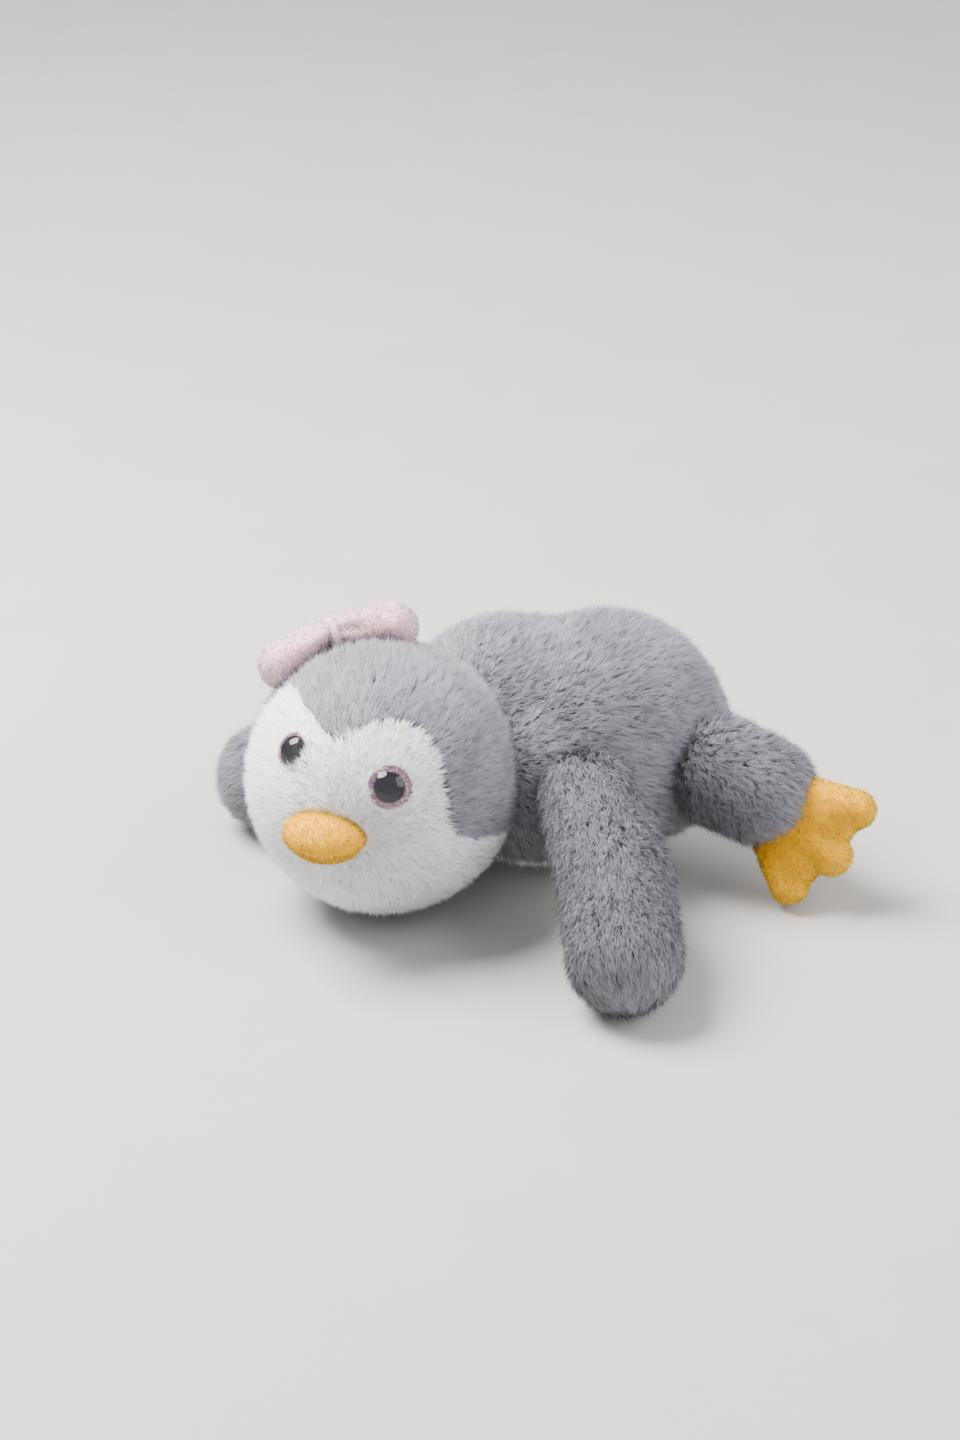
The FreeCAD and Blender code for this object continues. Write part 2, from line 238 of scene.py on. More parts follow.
def fibres(roots, normals, comb, pile, rng, floor=0.3 * mm):
    """Corner points, face indices, normals and UVs of one kite for each root."""
    count = len(roots)
    along = unit(comb - normals * (comb * normals).sum(1, keepdims=True))
    across = np.cross(normals, along)
    tuft, seeds = tufts(roots, pile["per_tuft"], rng)
    stray = rng.normal(0, pile["stray"], count) + rng.normal(0, pile["stray"], len(seeds))[tuft]
    along = along * np.cos(stray)[:, None] + across * np.sin(stray)[:, None]
    lean_root = np.radians(pile["lean"][0] + rng.normal(0, pile["lean_spread"], count))
    lean_tip = np.radians(pile["lean"][1] + rng.normal(0, pile["lean_spread"], count))
    lean_tip += np.radians(rng.normal(0, pile["lean_spread"], len(seeds)))[tuft]
    wild = rng.random(count) < pile["wild"]
    lean_root[wild] *= 0.6
    lean_tip[wild] *= 0.45
    length = pile["length"] * (1 - pile["uneven"] * rng.random(count))
    length *= (1 - 0.5 * pile["uneven"] * rng.random(len(seeds)))[tuft]

    def leaned(angle):
        return normals * np.cos(angle)[:, None] + along * np.sin(angle)[:, None]

    low, high = leaned(lean_root), leaned(lean_tip)
    bend = roots + low * (length * bend_share)[:, None]
    tip = bend + high * (length * (1 - bend_share))[:, None]
    gather = pile["gather"]
    tip = tip * (1 - gather) + tip[seeds][tuft] * gather
    bend = bend * (1 - gather / 3) + bend[seeds][tuft] * gather / 3
    twist = rng.uniform(-1, 1, count) * pile["twist"]
    side = np.cross(low, normals)
    side = unit(side) * np.cos(twist)[:, None] + np.cross(unit(side), low) * np.sin(twist)[:, None]
    half = side * (pile["width"] * (0.7 + 0.6 * rng.random(count)) / 2)[:, None]
    corners = np.stack([roots - normals * root_sink, bend - half, bend + half, tip], 1)
    corners[:, :, 2] = np.maximum(corners[:, :, 2], floor + 0.4 * mm * rng.random(count)[:, None])
    front = np.cross(corners[:, 1] - corners[:, 0], corners[:, 2] - corners[:, 0])
    facing = np.einsum("ij,ij->i", front, normals)
    flip = facing < 0
    corners[flip, 1], corners[flip, 2] = corners[flip, 2].copy(), corners[flip, 1].copy()
    first = np.arange(count)[:, None] * 4
    faces = np.concatenate([first + [0, 1, 2], first + [2, 1, 3]])
    tone = (0.6 * rng.random(len(seeds))[tuft] + 0.4 * rng.random(count))
    soft = unit(normals[:, None, :] + fibre_shade * unit(tip - roots)[:, None, :]).repeat(4, 1)
    marks = np.stack([tone[:, None].repeat(4, 1), np.tile([0.02, 0.5, 0.5, 0.98], (count, 1))], 2)
    return corners.reshape(-1, 3), faces, soft.reshape(-1, 3), marks.reshape(-1, 2)


def outside_all(roots, keep_out):
    """True for roots that lie outside every capsule (start, end, radius)."""
    clear = np.ones(len(roots), bool)
    for start, end, radius in keep_out:
        run = end - start
        t = np.clip(((roots - start) @ run) / max(run @ run, 1e-12), 0, 1)[:, None]
        clear &= np.linalg.norm(roots - start - t * run, axis=1) > radius
    return clear


def make_panel(name, points, faces, comb_of, pile, material, keep_out=(), keep=None):
    """A panel of cloth with its pile: the given faces of a skin, and the fibres that grow on them."""
    rng = np.random.default_rng([random_seed] + [ord(c) for c in name])
    normals = evened(vertex_normals(points, faces), faces, 6)
    used, compact = np.unique(faces, return_inverse=True)
    faces = compact.reshape(-1, 3)
    points, normals = points[used], normals[used]
    roots, root_normals = scatter(points, faces, normals, pile["density"], rng)
    clear = outside_all(roots, keep_out)
    if keep is not None:
        clear &= keep(roots)
    roots, root_normals = roots[clear], root_normals[clear]
    hair, hair_faces, hair_normals, hair_marks = fibres(roots, root_normals, comb_of(roots), pile, rng)
    # The backing between the fibres is painted with the root shade, as painted shade for the bottom of the
    # pile.
    skin_marks = np.stack([0.2 + 0.3 * rng.random(len(points)), np.full(len(points), 0.05)], 1)
    all_points = np.concatenate([points, hair])
    all_faces = np.concatenate([faces, hair_faces + len(points)])
    mesh = bpy.data.meshes.new(name)
    mesh.vertices.add(len(all_points))
    mesh.vertices.foreach_set("co", all_points.astype(np.float32).ravel())
    mesh.loops.add(all_faces.size)
    mesh.loops.foreach_set("vertex_index", all_faces.astype(np.int32).ravel())
    mesh.polygons.add(len(all_faces))
    mesh.polygons.foreach_set("loop_start", np.arange(len(all_faces), dtype=np.int32) * 3)
    mesh.update()
    marks = np.concatenate([skin_marks, hair_marks])
    for label, column in (("tuft_tone", 0), ("along", 1)):
        attribute = mesh.attributes.new(label, "FLOAT", "POINT")
        attribute.data.foreach_set("value", marks[:, column].astype(np.float32))
    spread = marks.copy()
    spread[len(points):, 0] += np.tile([0.0, -0.01, 0.01, 0.0], len(hair) // 4)
    uv_map = mesh.uv_layers.new(name="OFBake")
    uv_map.data.foreach_set("uv", spread.clip(0, 1)[all_faces.ravel()].astype(np.float32).ravel())
    mesh.polygons.foreach_set("use_smooth", np.ones(len(all_faces), bool))
    mesh.normals_split_custom_set_from_vertices(np.concatenate([normals, hair_normals]).tolist())
    mesh.materials.append(material)
    obj = bpy.data.objects.new(name, mesh)
    bpy.context.scene.collection.objects.link(obj)
    print(f"{name}: {len(roots)} fibres, {len(all_faces)} triangles")
    return obj


# %% [markdown]
# ## Finishes
# The cloths share one node group, which turns the tuft's tone and the place along the fibre into a colour:
# dark at the root, which is painted shade for the bottom of the pile, full in the middle, pale at the tip. A
# slow noise adds the patches that handling leaves. The hard parts have their own small patterns.


# %% Helpers for node trees
def link(tree, source, target):
    tree.links.new(source, target)


def group_tree(name, inputs, outputs):
    """A new shader group with sockets given as (name, type, default)."""
    tree = bpy.data.node_groups.new(name, "ShaderNodeTree")
    for side, sockets in (("INPUT", inputs), ("OUTPUT", outputs)):
        for label, kind, default in sockets:
            made = tree.interface.new_socket(label, in_out=side, socket_type=kind)
            if default is not None:
                made.default_value = default
    return tree, tree.nodes.new("NodeGroupInput"), tree.nodes.new("NodeGroupOutput")


def blend_colour(tree, share, first, second, kind="MIX"):
    node = tree.nodes.new("ShaderNodeMix")
    node.data_type = "RGBA"
    node.blend_type = kind
    for socket, value in ((node.inputs[0], share), (node.inputs[6], first), (node.inputs[7], second)):
        if hasattr(value, "is_output"):
            link(tree, value, socket)
        else:
            socket.default_value = value
    return node.outputs[2]


def ramp_value(tree, source, low, high, to_low=0.0, to_high=1.0):
    node = tree.nodes.new("ShaderNodeMapRange")
    link(tree, source, node.inputs["Value"])
    for label, value in (("From Min", low), ("From Max", high), ("To Min", to_low), ("To Max", to_high)):
        node.inputs[label].default_value = value
    return node.outputs[0]


def noise(tree, scale, detail=3.0, kind="Fac"):
    place = tree.nodes.new("ShaderNodeTexCoord")
    node = tree.nodes.new("ShaderNodeTexNoise")
    link(tree, place.outputs["Object"], node.inputs["Vector"])
    node.inputs["Scale"].default_value = scale
    node.inputs["Detail"].default_value = detail
    return node.outputs[kind]


def srgb(r, g, b):
    """Linear colour of a paint-chart colour given in 0..255."""
    values = [c / 255 for c in (r, g, b)]
    return tuple(c / 12.92 if c <= 0.04045 else ((c + 0.055) / 1.055) ** 2.4 for c in values) + (1.0,)


print("helpers ready")

# %% [markdown]
# ## Cloth colour
# Each fibre is painted dark towards its root, as painted shade for the bottom of the pile that shows where
# tufts part, and pale towards its tip where its tuft is light. Tone and place along the fibre come from the
# mesh, so this painted shade follows each fibre.

# %% Pile colour group
pile_tree, given, result = group_tree(
    "pile colour",
    [("Root Shade", "NodeSocketColor", None), ("Middle", "NodeSocketColor", None),
     ("Tip", "NodeSocketColor", None), ("Patches", "NodeSocketFloat", 0.12),
     ("Patch Scale", "NodeSocketFloat", 70.0)],
    [("Color", "NodeSocketColor", None), ("Roughness", "NodeSocketFloat", None)],
)
attribute_of = {}
for label in ("tuft_tone", "along"):
    attribute_of[label] = pile_tree.nodes.new("ShaderNodeAttribute")
    attribute_of[label].attribute_name = label
# Painted shade: over the lower part of each fibre the colour runs from the dark root shade to the cloth's own
# colour.
root_shade_share = ramp_value(pile_tree, attribute_of["along"].outputs["Fac"], 0.0, 0.45)
body_colour = blend_colour(pile_tree, root_shade_share, given.outputs["Root Shade"], given.outputs["Middle"])
pale_share = pile_tree.nodes.new("ShaderNodeMath")
pale_share.operation = "MULTIPLY"
link(pile_tree, ramp_value(pile_tree, attribute_of["along"].outputs["Fac"], 0.3, 1.0), pale_share.inputs[0])
link(pile_tree, attribute_of["tuft_tone"].outputs["Fac"], pale_share.inputs[1])
tipped = blend_colour(pile_tree, pale_share.outputs[0], body_colour, given.outputs["Tip"])
patch = noise(pile_tree, 70.0)
link(pile_tree, given.outputs["Patch Scale"], patch.node.inputs["Scale"])
patch_share = pile_tree.nodes.new("ShaderNodeMath")
patch_share.operation = "MULTIPLY"
link(pile_tree, ramp_value(pile_tree, patch, 0.35, 0.65), patch_share.inputs[0])
link(pile_tree, given.outputs["Patches"], patch_share.inputs[1])
# The handling patches darken towards the same painted root-shade colour.
link(pile_tree, blend_colour(pile_tree, patch_share.outputs[0], tipped, given.outputs["Root Shade"]),
     result.inputs["Color"])
link(pile_tree, ramp_value(pile_tree, attribute_of["along"].outputs["Fac"], 0.0, 1.0, 0.9, 0.62),
     result.inputs["Roughness"])
print("pile colour group:", len(pile_tree.nodes), "nodes")


# %% [markdown]
# ## Grain
# Moulded plastic, thread and a painted floor are never one even tone. One fine noise varies their
# colour and their shine, and gives a height to those that have a bump. Each material sets its own
# two colours, scale and shine, so the effect is built once and a change reaches every hard part.

# %% Grain group
grain_tree, given, result = group_tree(
    "fine grain",
    [("First", "NodeSocketColor", None), ("Second", "NodeSocketColor", None),
     ("Scale", "NodeSocketFloat", 900.0), ("Roughness", "NodeSocketFloat", 0.5),
     ("Spread", "NodeSocketFloat", 0.16)],
    [("Color", "NodeSocketColor", None), ("Roughness", "NodeSocketFloat", None),
     ("Height", "NodeSocketFloat", None)],
)
speckle = noise(grain_tree, 900.0, 5.0)
link(grain_tree, given.outputs["Scale"], speckle.node.inputs["Scale"])
link(grain_tree, blend_colour(grain_tree, speckle, given.outputs["First"], given.outputs["Second"]),
     result.inputs["Color"])
shine = grain_tree.nodes.new("ShaderNodeMath")
shine.operation = "MULTIPLY_ADD"
link(grain_tree, ramp_value(grain_tree, speckle, 0.3, 0.7, -0.5, 0.5), shine.inputs[0])
link(grain_tree, given.outputs["Spread"], shine.inputs[1])
link(grain_tree, given.outputs["Roughness"], shine.inputs[2])
link(grain_tree, shine.outputs[0], result.inputs["Roughness"])
link(grain_tree, speckle, result.inputs["Height"])
print("grain group:", len(grain_tree.nodes), "nodes")

# %% [markdown]
# ## The cloths
# Grey plush, white plush, yellow velour and pale pink velour differ only in colour, sheen and
# patches, so each is one small material round the same group.


# %% Cloth materials
def new_material(name, roughness=0.5):
    material = bpy.data.materials.new(name)
    material.use_nodes = True
    shader = material.node_tree.nodes["Principled BSDF"]
    shader.inputs["Roughness"].default_value = roughness
    return material, material.node_tree, shader


def cloth(name, root, middle, tip, sheen, patches, patch_scale=70.0):
    material, tree, shader = new_material(name, 0.8)
    group = tree.nodes.new("ShaderNodeGroup")
    group.node_tree = pile_tree
    for label, value in (("Root Shade", root), ("Middle", middle), ("Tip", tip), ("Patches", patches),
                         ("Patch Scale", patch_scale)):
        group.inputs[label].default_value = value
    link(tree, group.outputs["Color"], shader.inputs["Base Color"])
    link(tree, group.outputs["Roughness"], shader.inputs["Roughness"])
    shader.inputs["Sheen Weight"].default_value = sheen
    shader.inputs["Sheen Roughness"].default_value = 0.45
    shader.inputs["Specular IOR Level"].default_value = 0.25
    return material


# Each cloth's first colour is painted shade for the roots deep in its pile, the second is its own colour and
# the third its pale tips.
grey_plush = cloth("grey plush", srgb(66, 64, 72), srgb(127, 123, 132), srgb(184, 181, 190),
                   sheen=0.12, patches=0.25)
white_plush = cloth("white plush", srgb(238, 237, 244), srgb(251, 251, 254), srgb(254, 254, 255),
                    sheen=0.1, patches=0.06)
yellow_velour = cloth("yellow velour", srgb(255, 182, 2), srgb(255, 214, 4), srgb(255, 230, 40),
                      sheen=0.08, patches=0.12, patch_scale=120.0)
pink_velour = cloth("pale pink velour", srgb(250, 204, 217), srgb(254, 226, 234), srgb(255, 245, 248),
                    sheen=0.15, patches=0.08, patch_scale=120.0)
print("cloths:", [m.name for m in (grey_plush, white_plush, yellow_velour, pink_velour)])

# %% [markdown]
# ## Eyes, thread and the parts inside
# A safety eye is a clear dome whose back holds a glitter film and a black pupil. The glitter is a
# cell pattern with a different tilt and brightness in each flake. The thread and the washer behind
# the cloth get quiet finishes of their own.

# %% Hard finishes
def grain_in(tree, shader, first, second, scale, roughness, spread):
    """Places the shared grain in a material and feeds its colour and roughness to the shader."""
    group = tree.nodes.new("ShaderNodeGroup")
    group.node_tree = grain_tree
    for label, value in (("First", first), ("Second", second), ("Scale", scale), ("Roughness", roughness),
                         ("Spread", spread)):
        group.inputs[label].default_value = value
    link(tree, group.outputs["Color"], shader.inputs["Base Color"])
    link(tree, group.outputs["Roughness"], shader.inputs["Roughness"])
    return group.outputs["Height"]


eye_clear, tree, shader = new_material("clear eye plastic")
grain_in(tree, shader, (0.99, 0.99, 0.99, 1), (1, 1, 1, 1), 500.0, 0.045, 0.05)
shader.inputs["Transmission Weight"].default_value = 1.0
shader.inputs["IOR"].default_value = 1.14
shader.inputs["Coat Weight"].default_value = 0.4
shader.inputs["Coat Roughness"].default_value = 0.03

eye_black, tree, shader = new_material("black eye plastic")
grain_in(tree, shader, (0.006, 0.006, 0.008, 1), (0.018, 0.015, 0.02, 1), 800.0, 0.14, 0.12)
shader.inputs["Specular IOR Level"].default_value = 0.2

eye_glitter, tree, shader = new_material("pink glitter film")
place = tree.nodes.new("ShaderNodeTexCoord")
flakes = tree.nodes.new("ShaderNodeTexVoronoi")
flakes.inputs["Scale"].default_value = 2600.0
link(tree, place.outputs["Object"], flakes.inputs["Vector"])
split = tree.nodes.new("ShaderNodeSeparateColor")
link(tree, flakes.outputs["Color"], split.inputs["Color"])
film = blend_colour(tree, split.outputs[0], srgb(160, 98, 124), srgb(228, 172, 194))
film = blend_colour(tree, ramp_value(tree, split.outputs[1], 0.78, 0.86), film, srgb(255, 236, 240))
link(tree, film, shader.inputs["Base Color"])
link(tree, ramp_value(tree, split.outputs[2], 0.0, 1.0, 0.15, 0.55), shader.inputs["Roughness"])
link(tree, ramp_value(tree, split.outputs[1], 0.3, 0.8, 0.1, 0.45), shader.inputs["Metallic"])
tilt = tree.nodes.new("ShaderNodeBump")
tilt.inputs["Strength"].default_value = 0.5
tilt.inputs["Distance"].default_value = 0.0002
link(tree, split.outputs[2], tilt.inputs["Height"])
link(tree, tilt.outputs["Normal"], shader.inputs["Normal"])


def quiet(name, first, second, scale, roughness, bump_depth):
    """A plain material whose colour, roughness and surface vary a little."""
    material, tree, shader = new_material(name, roughness)
    height = grain_in(tree, shader, first, second, scale, roughness, 0.16)
    bump = tree.nodes.new("ShaderNodeBump")
    bump.inputs["Strength"].default_value = 0.6
    bump.inputs["Distance"].default_value = bump_depth
    link(tree, height, bump.inputs["Height"])
    link(tree, bump.outputs["Normal"], shader.inputs["Normal"])
    return material


washer_plastic = quiet("moulded washer", srgb(228, 228, 224), srgb(240, 240, 238), 900.0, 0.55, 0.00005)
grey_thread = quiet("waxed grey thread", srgb(120, 115, 126), srgb(160, 155, 166), 1500.0, 0.6, 0.0001)
yellow_thread = quiet("yellow thread", srgb(226, 150, 40), srgb(250, 196, 84), 1500.0, 0.6, 0.0001)
print("finishes:", len(bpy.data.materials))

# %% [markdown]
# ## Parts that keep their own shape
# The eyes and washers are moulded, so their plain solids already have the right form. Only their
# finish is new here. Drawing them again would add nothing and could drift from the solids.

# %% Finishes of the parts that keep their own shape
kept_finish = {"eye_dome": eye_clear, "eye_pupil": eye_black, "eye_glitter_disc": eye_glitter,
               "eye_washer": washer_plastic}
for name, node in frame["nodes"].items():
    for ending, material in kept_finish.items():
        if name.endswith(ending):
            for holder in node.material_slots:
                holder.material = material
print("kept parts:", [n for n in frame["nodes"] if n.endswith(tuple(kept_finish))])

# %% [markdown]
# ## Stuffing it
# Cloth pulled over stuffing swells between its seams. The seam is pinned, air pressure pushes the
# rest outwards for a few frames, and no point may move further than a cap. The form is made ten
# times its size for this, because the cloth solver's usual values suit things as big as a cushion.


# %% Stuffing helper
sim_scale = 10.0
pinned_within = 0.9 * mm      # cloth this near to the seam doesn't move


def stuff(points, faces, seam_distance, cap, pressure=4.0, frames=16):
    """Points after air pressure has swollen the form between its pinned seams."""
    mesh = bpy.data.meshes.new("swell")
    mesh.from_pydata((points * sim_scale).tolist(), [], faces.tolist())
    obj = bpy.data.objects.new("swell", mesh)
    bpy.context.scene.collection.objects.link(obj)
    pins = obj.vertex_groups.new(name="seam")
    for index in np.nonzero(seam_distance < pinned_within)[0]:
        pins.add([int(index)], 1.0, "REPLACE")
    cloth_modifier = obj.modifiers.new("air", "CLOTH")
    settings = cloth_modifier.settings
    settings.quality = 5
    settings.mass = 0.3
    settings.tension_stiffness = settings.compression_stiffness = 15.0
    settings.bending_stiffness = 0.8
    settings.use_pressure = True
    settings.uniform_pressure_force = pressure
    settings.vertex_group_mass = "seam"
    settings.effector_weights.gravity = 0.0
    cloth_modifier.collision_settings.use_collision = False
    cloth_modifier.point_cache.frame_start, cloth_modifier.point_cache.frame_end = 1, frames
    for step in range(1, frames + 1):
        bpy.context.scene.frame_set(step)
    moved = np.empty(len(points) * 3, np.float32)
    evaluated = obj.evaluated_get(bpy.context.evaluated_depsgraph_get())
    evaluated.data.vertices.foreach_get("co", moved)
    shift = moved.reshape(-1, 3) / sim_scale - points
    bpy.data.objects.remove(obj)
    bpy.context.scene.frame_set(1)
    far = np.linalg.norm(shift, axis=1, keepdims=True)
    print("  swelled by up to", round(float(far.max()) / mm, 2), "mm before the cap")
    return points + shift * np.minimum(1, cap / np.maximum(far, 1e-9))


def piece_on(obj, body, node_names):
    """Ride the named body, or stay fixed where it was built when it spans a joint, and stand for its solids
    by hiding them.
    """
    if isinstance(body, str):
        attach(obj, body)
    else:
        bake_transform(obj)
    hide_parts(*node_names)
    return obj


# %% [markdown]
# ## Kinds of pile
# The numbers are what a cloth maker would state: pile length, how far it leans at the root and at
# the tip, how uneven it is, and how it clumps.

# %% Kinds of pile
grey_pile = {"length": 6.2 * mm, "width": 0.12 * mm, "density": 13.0, "lean": (24, 60), "lean_spread": 11.0,
             "stray": 0.26, "uneven": 0.45, "per_tuft": 16, "gather": 0.18, "twist": 0.9, "wild": 0.16}
back_pile = dict(grey_pile, density=11.0, width=0.13 * mm)
arm_pile = dict(grey_pile, lean=(38, 73), stray=0.2, gather=0.1, wild=0.1)
face_pile = dict(grey_pile, length=4.8 * mm, width=0.12 * mm, density=10.8, lean=(18, 46), gather=0.12)
belly_pile = dict(face_pile, length=4.6 * mm, density=9.0, lean=(40, 72))
velour_pile = {"length": 1.5 * mm, "width": 0.1 * mm, "density": 18.0, "lean": (6, 26), "lean_spread": 15.0,
               "stray": 0.6, "uneven": 0.4, "per_tuft": 24, "gather": 0.12, "twist": 1.2, "wild": 0.0}
bow_pile = dict(velour_pile, length=1.6 * mm, width=0.12 * mm, lean=(12, 42), stray=0.4, gather=0.2)
cloth_depth = 2.7 * mm         # the backing lies this far under the pile's tips
velour_depth = 0.8 * mm
print("grey pile", grey_pile["length"] / mm, "mm long")

# %% [markdown]
# ## Head
# The head is a stuffed ball sewn from three panels: a white face, and a grey crown in two halves
# that comes down between the eyes in a peak. The line between them is given as a height for each
# compass angle round the head. The pile is combed away from the beak, as a toy maker brushes it.

# %% Head form and face line
head_radius = 38.5 * mm
head_points, head_faces = ball_form(head_centre, head_radius - cloth_depth, 6)
lobe_left = np.array([(-6, 25), (-1, 28.5), (4, 33), (11, 38), (20, 41), (28, 41.5), (34, 39.5), (40, 35),
                      (45, 28), (48, 17), (50.5, 9), (53, 2), (58, -2.5), (65, -4.5), (73, -5.2),
                      (180, -5.2)])
lobe_right = np.array([(-180, -5.2), (-85, -5.2), (-78, -4.8), (-73, -2.5), (-70, 1.7), (-69, 8), (-67, 18),
                       (-63, 27), (-56, 33), (-47, 34.5), (-32, 31.5), (-21, 28.5), (-13, 26), (-6, 25)])
face_line = np.concatenate([lobe_right[:-1], lobe_left])


def side_and_rise(points):
    spot = unit(in_head(points))
    return np.degrees(np.arctan2(spot[:, 0], -spot[:, 1])), np.degrees(np.arcsin(spot[:, 2].clip(-1, 1)))


def face_share(points):
    """Height over the face line, in degrees: above zero is grey crown."""
    side, rise = side_and_rise(points)
    return rise - np.interp(side, face_line[:, 0], face_line[:, 1])


beak_way = head_matrix @ face_way(2.5, -15.3)
head_middles = head_points[head_faces].mean(1)
over_line = face_share(head_middles)
on_left = in_head(head_middles)[:, 0] > 0
print("head, before the eye holes:", (over_line <= 0).sum(), "white and", (over_line > 0).sum(), "grey faces")

# %% [markdown]
# ## Head panels and eye holes
# Each eye's stem passes through a hole in the cloth, and the pile closes over its rim. The backing
# is left out under the eye, and fibres start at its edge. The right hole is smaller, so more pile
# falls over that eye. No fibre starts under the beak, which is sewn on over the face.

# %% Head panels
eye_places = [np.mean(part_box(f"{side}_eye_dome"), axis=0) for side in ("left", "right")]
room_radii = (5.8, 4.7)          # mm, left and right: no fibre starts nearer to the eye's axis
room_below, room_above = 6, 4    # mm, how far the room reaches under and over the dome's middle
cloth_under_eye = 0.2 * mm       # the backing runs this far on past the first fibres
beak_sink, under_beak = 0.5 * mm, 0.4 * mm
eye_rooms = [(spot - unit(spot - head_centre) * room_below * mm,
              spot + unit(spot - head_centre) * room_above * mm, room * mm)
             for spot, room in zip(eye_places, room_radii)]
open_cloth = outside_all(head_middles, [(a, b, radius - cloth_under_eye) for a, b, radius in eye_rooms])
beak_centre = head_centre + beak_way * (head_radius - beak_sink)
beak_across = unit(np.cross([0, 0, 1.0], beak_way))
beak_up = np.cross(beak_way, beak_across)
beak_half = np.array([10.5, 13.0, 7.4]) * mm


def in_beak(points):
    return (points - beak_centre) @ np.stack([beak_way, beak_across, beak_up], 1)


def off_beak(points):
    return ((in_beak(points) / (beak_half - under_beak)) ** 2).sum(1) > 1


def combed(direction):
    direction = np.array(direction, float)
    return lambda points: np.tile(direction, (len(points), 1))


def face_comb(points):
    """Away from the beak, and back from the eyes."""
    return unit(points - beak_centre - beak_way * 6 * mm) - 0.5 * beak_way


head_panels = (
    ("head_face_plush", (over_line <= 0) & open_cloth, face_pile, white_plush,
     ("head_face_panel", "head_stuffing"), "white_plush"),
    ("head_crown_left_plush", (over_line > 0) & on_left, grey_pile, grey_plush,
     ("head_crown_left",), "grey_plush"),
    ("head_crown_right_plush", (over_line > 0) & ~on_left, grey_pile, grey_plush,
     ("head_crown_right",), "grey_plush"),
)
for name, mask, pile, material, nodes, slot_name in head_panels:
    panel = make_panel(name, head_points, head_faces[mask], face_comb, pile, material, eye_rooms, off_beak)
    piece_on(panel, "head", nodes)

# %% [markdown]
# ## Torso
# The body is a short round-ended bag, flat where it lies. Its back is two grey halves and its belly
# one white panel. The pile runs from the neck to the tail.

# %% Torso panels
torso_radius = 35.0 * mm
torso_rear = np.array([head_centre[0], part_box("torso_left_panel")[1][1] - torso_radius, 33.5 * mm])
torso_front = torso_rear - np.array([0, 10 * mm, 0])
# The back rises over the bag; the shoulders and the nape are set from the bag's front end. The
# belly's backing lies at belly_floor, and its seam with the back runs at belly_top.
back_rise, back_radius = 3, 32.6 * mm
shoulder_shift, shoulder_radius = np.array([-11, -18.5, 7.5]) * mm, 28.2 * mm
nape_shift, nape_radius = np.array([4, -17, -1]) * mm, 26.5 * mm
belly_floor, belly_top = 1.0 * mm, 15.0 * mm
print("torso from", np.round(torso_front / mm, 1), "to", np.round(torso_rear / mm, 1))
skin_radius = torso_radius - cloth_depth
back_front = torso_front + np.array([0, 0, back_rise]) * mm
back_rear = torso_rear + np.array([0, -2, back_rise]) * mm
shoulders = torso_front + shoulder_shift
torso_points, torso_faces = soft_form([
    (torso_front, torso_rear, skin_radius, skin_radius),
    (back_front, back_rear, back_radius, back_radius),
    (shoulders, back_front, shoulder_radius, 31.5 * mm),
    (torso_front + nape_shift, torso_front, nape_radius, 31 * mm),
], 1.2 * mm, 12)
torso_points[:, 2] = np.maximum(torso_points[:, 2], belly_floor)
torso_mid = torso_points[torso_faces].mean(1)
low = torso_mid[:, 2] < belly_top
left_half = torso_mid[:, 0] > torso_front[0]
torso_comb = combed((0, 1, -0.3))
for name, mask, pile, material, nodes, slot_name in (
    ("back_left_plush", ~low & left_half, back_pile, grey_plush,
     ("torso_left_panel", "torso_stuffing"), "grey_plush"),
    ("back_right_plush", ~low & ~left_half, back_pile, grey_plush, ("torso_right_panel",), "grey_plush"),
    ("belly_plush", low, belly_pile, white_plush, ("torso_belly_panel",), "white_plush"),
):
    panel = make_panel(name, torso_points, torso_faces[mask], torso_comb, pile, material)
    piece_on(panel, "torso", nodes)

# %% [markdown]
# ## Neck thread
# The neck seam is drawn closed by a ring of waxed thread. It lies in the crease under the pile. A
# plain ring would do for its place, but a real thread shows its twist, so three plies are wound
# round each other on the plain ring's own line, to its thickness.

# %% Neck thread
ring_low, ring_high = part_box("neck_thread_ring")
ring_centre = (np.array(ring_low) + np.array(ring_high)) / 2
neck_line = unit(torso_front - head_centre)
ring_side = unit(np.cross(neck_line, [0, 0, 1.0]))
ring_up = np.cross(ring_side, neck_line)
thread_half = 0.8 * mm
ply_count, ply_twists = 3, 40
ring_radius = (ring_high[0] - ring_low[0]) / 2 - thread_half
plies = bpy.data.curves.new("neck_thread", "CURVE")
plies.dimensions = "3D"
plies.bevel_depth = 0.45 * thread_half
for ply in range(ply_count):
    spline = plies.splines.new("POLY")
    turns = np.linspace(0, 2 * math.pi, 361)[:-1]
    spline.points.add(len(turns) - 1)
    twist = ply_twists * turns + ply * 2 * math.pi / ply_count
    out = ring_radius + 0.5 * thread_half * np.cos(twist)
    round_way = np.cos(turns)[:, None] * ring_side + np.sin(turns)[:, None] * ring_up
    places = (ring_centre + out[:, None] * round_way
              + (0.5 * thread_half * np.sin(twist))[:, None] * neck_line)
    spline.points.foreach_set("co", np.concatenate([places, np.ones((len(turns), 1))], 1).ravel())
    spline.use_cyclic_u = True
plies.materials.append(grey_thread)
neck_thread = bpy.data.objects.new("neck_thread", plies)
bpy.context.scene.collection.objects.link(neck_thread)
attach(neck_thread, "neck")
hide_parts("neck_thread_ring")
